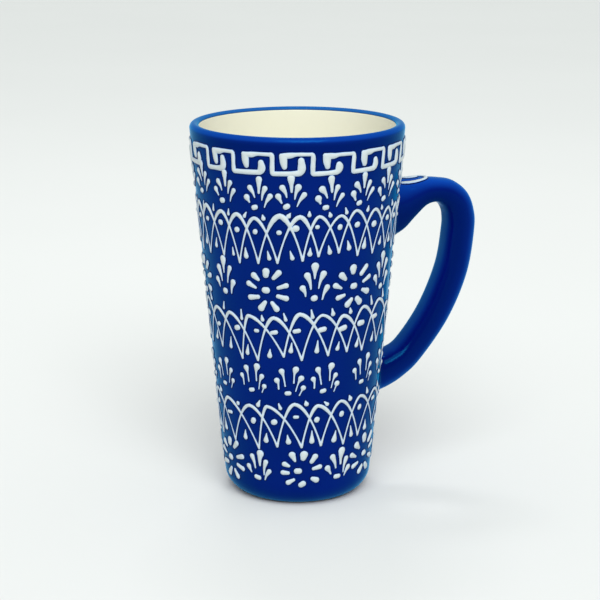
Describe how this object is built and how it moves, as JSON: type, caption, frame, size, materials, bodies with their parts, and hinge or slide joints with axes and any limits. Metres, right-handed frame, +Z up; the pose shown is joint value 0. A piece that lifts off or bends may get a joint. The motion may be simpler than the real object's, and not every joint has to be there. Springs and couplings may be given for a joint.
{
  "type": "tall stoneware mug",
  "caption": "Tall tapered stoneware mug with a bowed handle, cobalt blue glaze outside, cream lining and raised white slip decoration in bands.",
  "frame": {"origin": "middle of the flat unglazed foot, on the axis of the cup", "axes": "+Z up along the axis of the cup, +X from the axis towards the handle, +Y to the left when looking along +X"},
  "size_m": [0.1205, 0.0874, 0.1525],
  "materials": {
    "fired_clay": "matt",
    "cobalt_glaze": "gloss",
    "cream_glaze": "gloss",
    "white_slip": "satin gloss"
  },
  "bodies": {
    "root": {"clay_cup": "fired_clay", "clay_handle": "fired_clay", "joint_slip_upper": "fired_clay", "joint_slip_lower": "fired_clay", "glaze_coat_cup": "cobalt_glaze", "glaze_coat_handle": "cobalt_glaze", "glaze_lining": "cream_glaze", "slip_arcade_upper": "white_slip", "slip_arcade_middle": "white_slip", "slip_arcade_lower": "white_slip", "slip_handle_curl": "white_slip", "slip_key_01": "white_slip", "slip_key_02": "white_slip", "slip_key_03": "white_slip", "slip_key_04": "white_slip", "slip_key_05": "white_slip", "slip_key_06": "white_slip", "slip_key_07": "white_slip", "slip_key_08": "white_slip", "slip_key_09": "white_slip", "slip_key_10": "white_slip", "slip_key_11": "white_slip", "slip_key_12": "white_slip", "slip_key_13": "white_slip", "slip_key_14": "white_slip", "slip_key_15": "white_slip", "slip_key_16": "white_slip"}
  },
  "joints": []
}
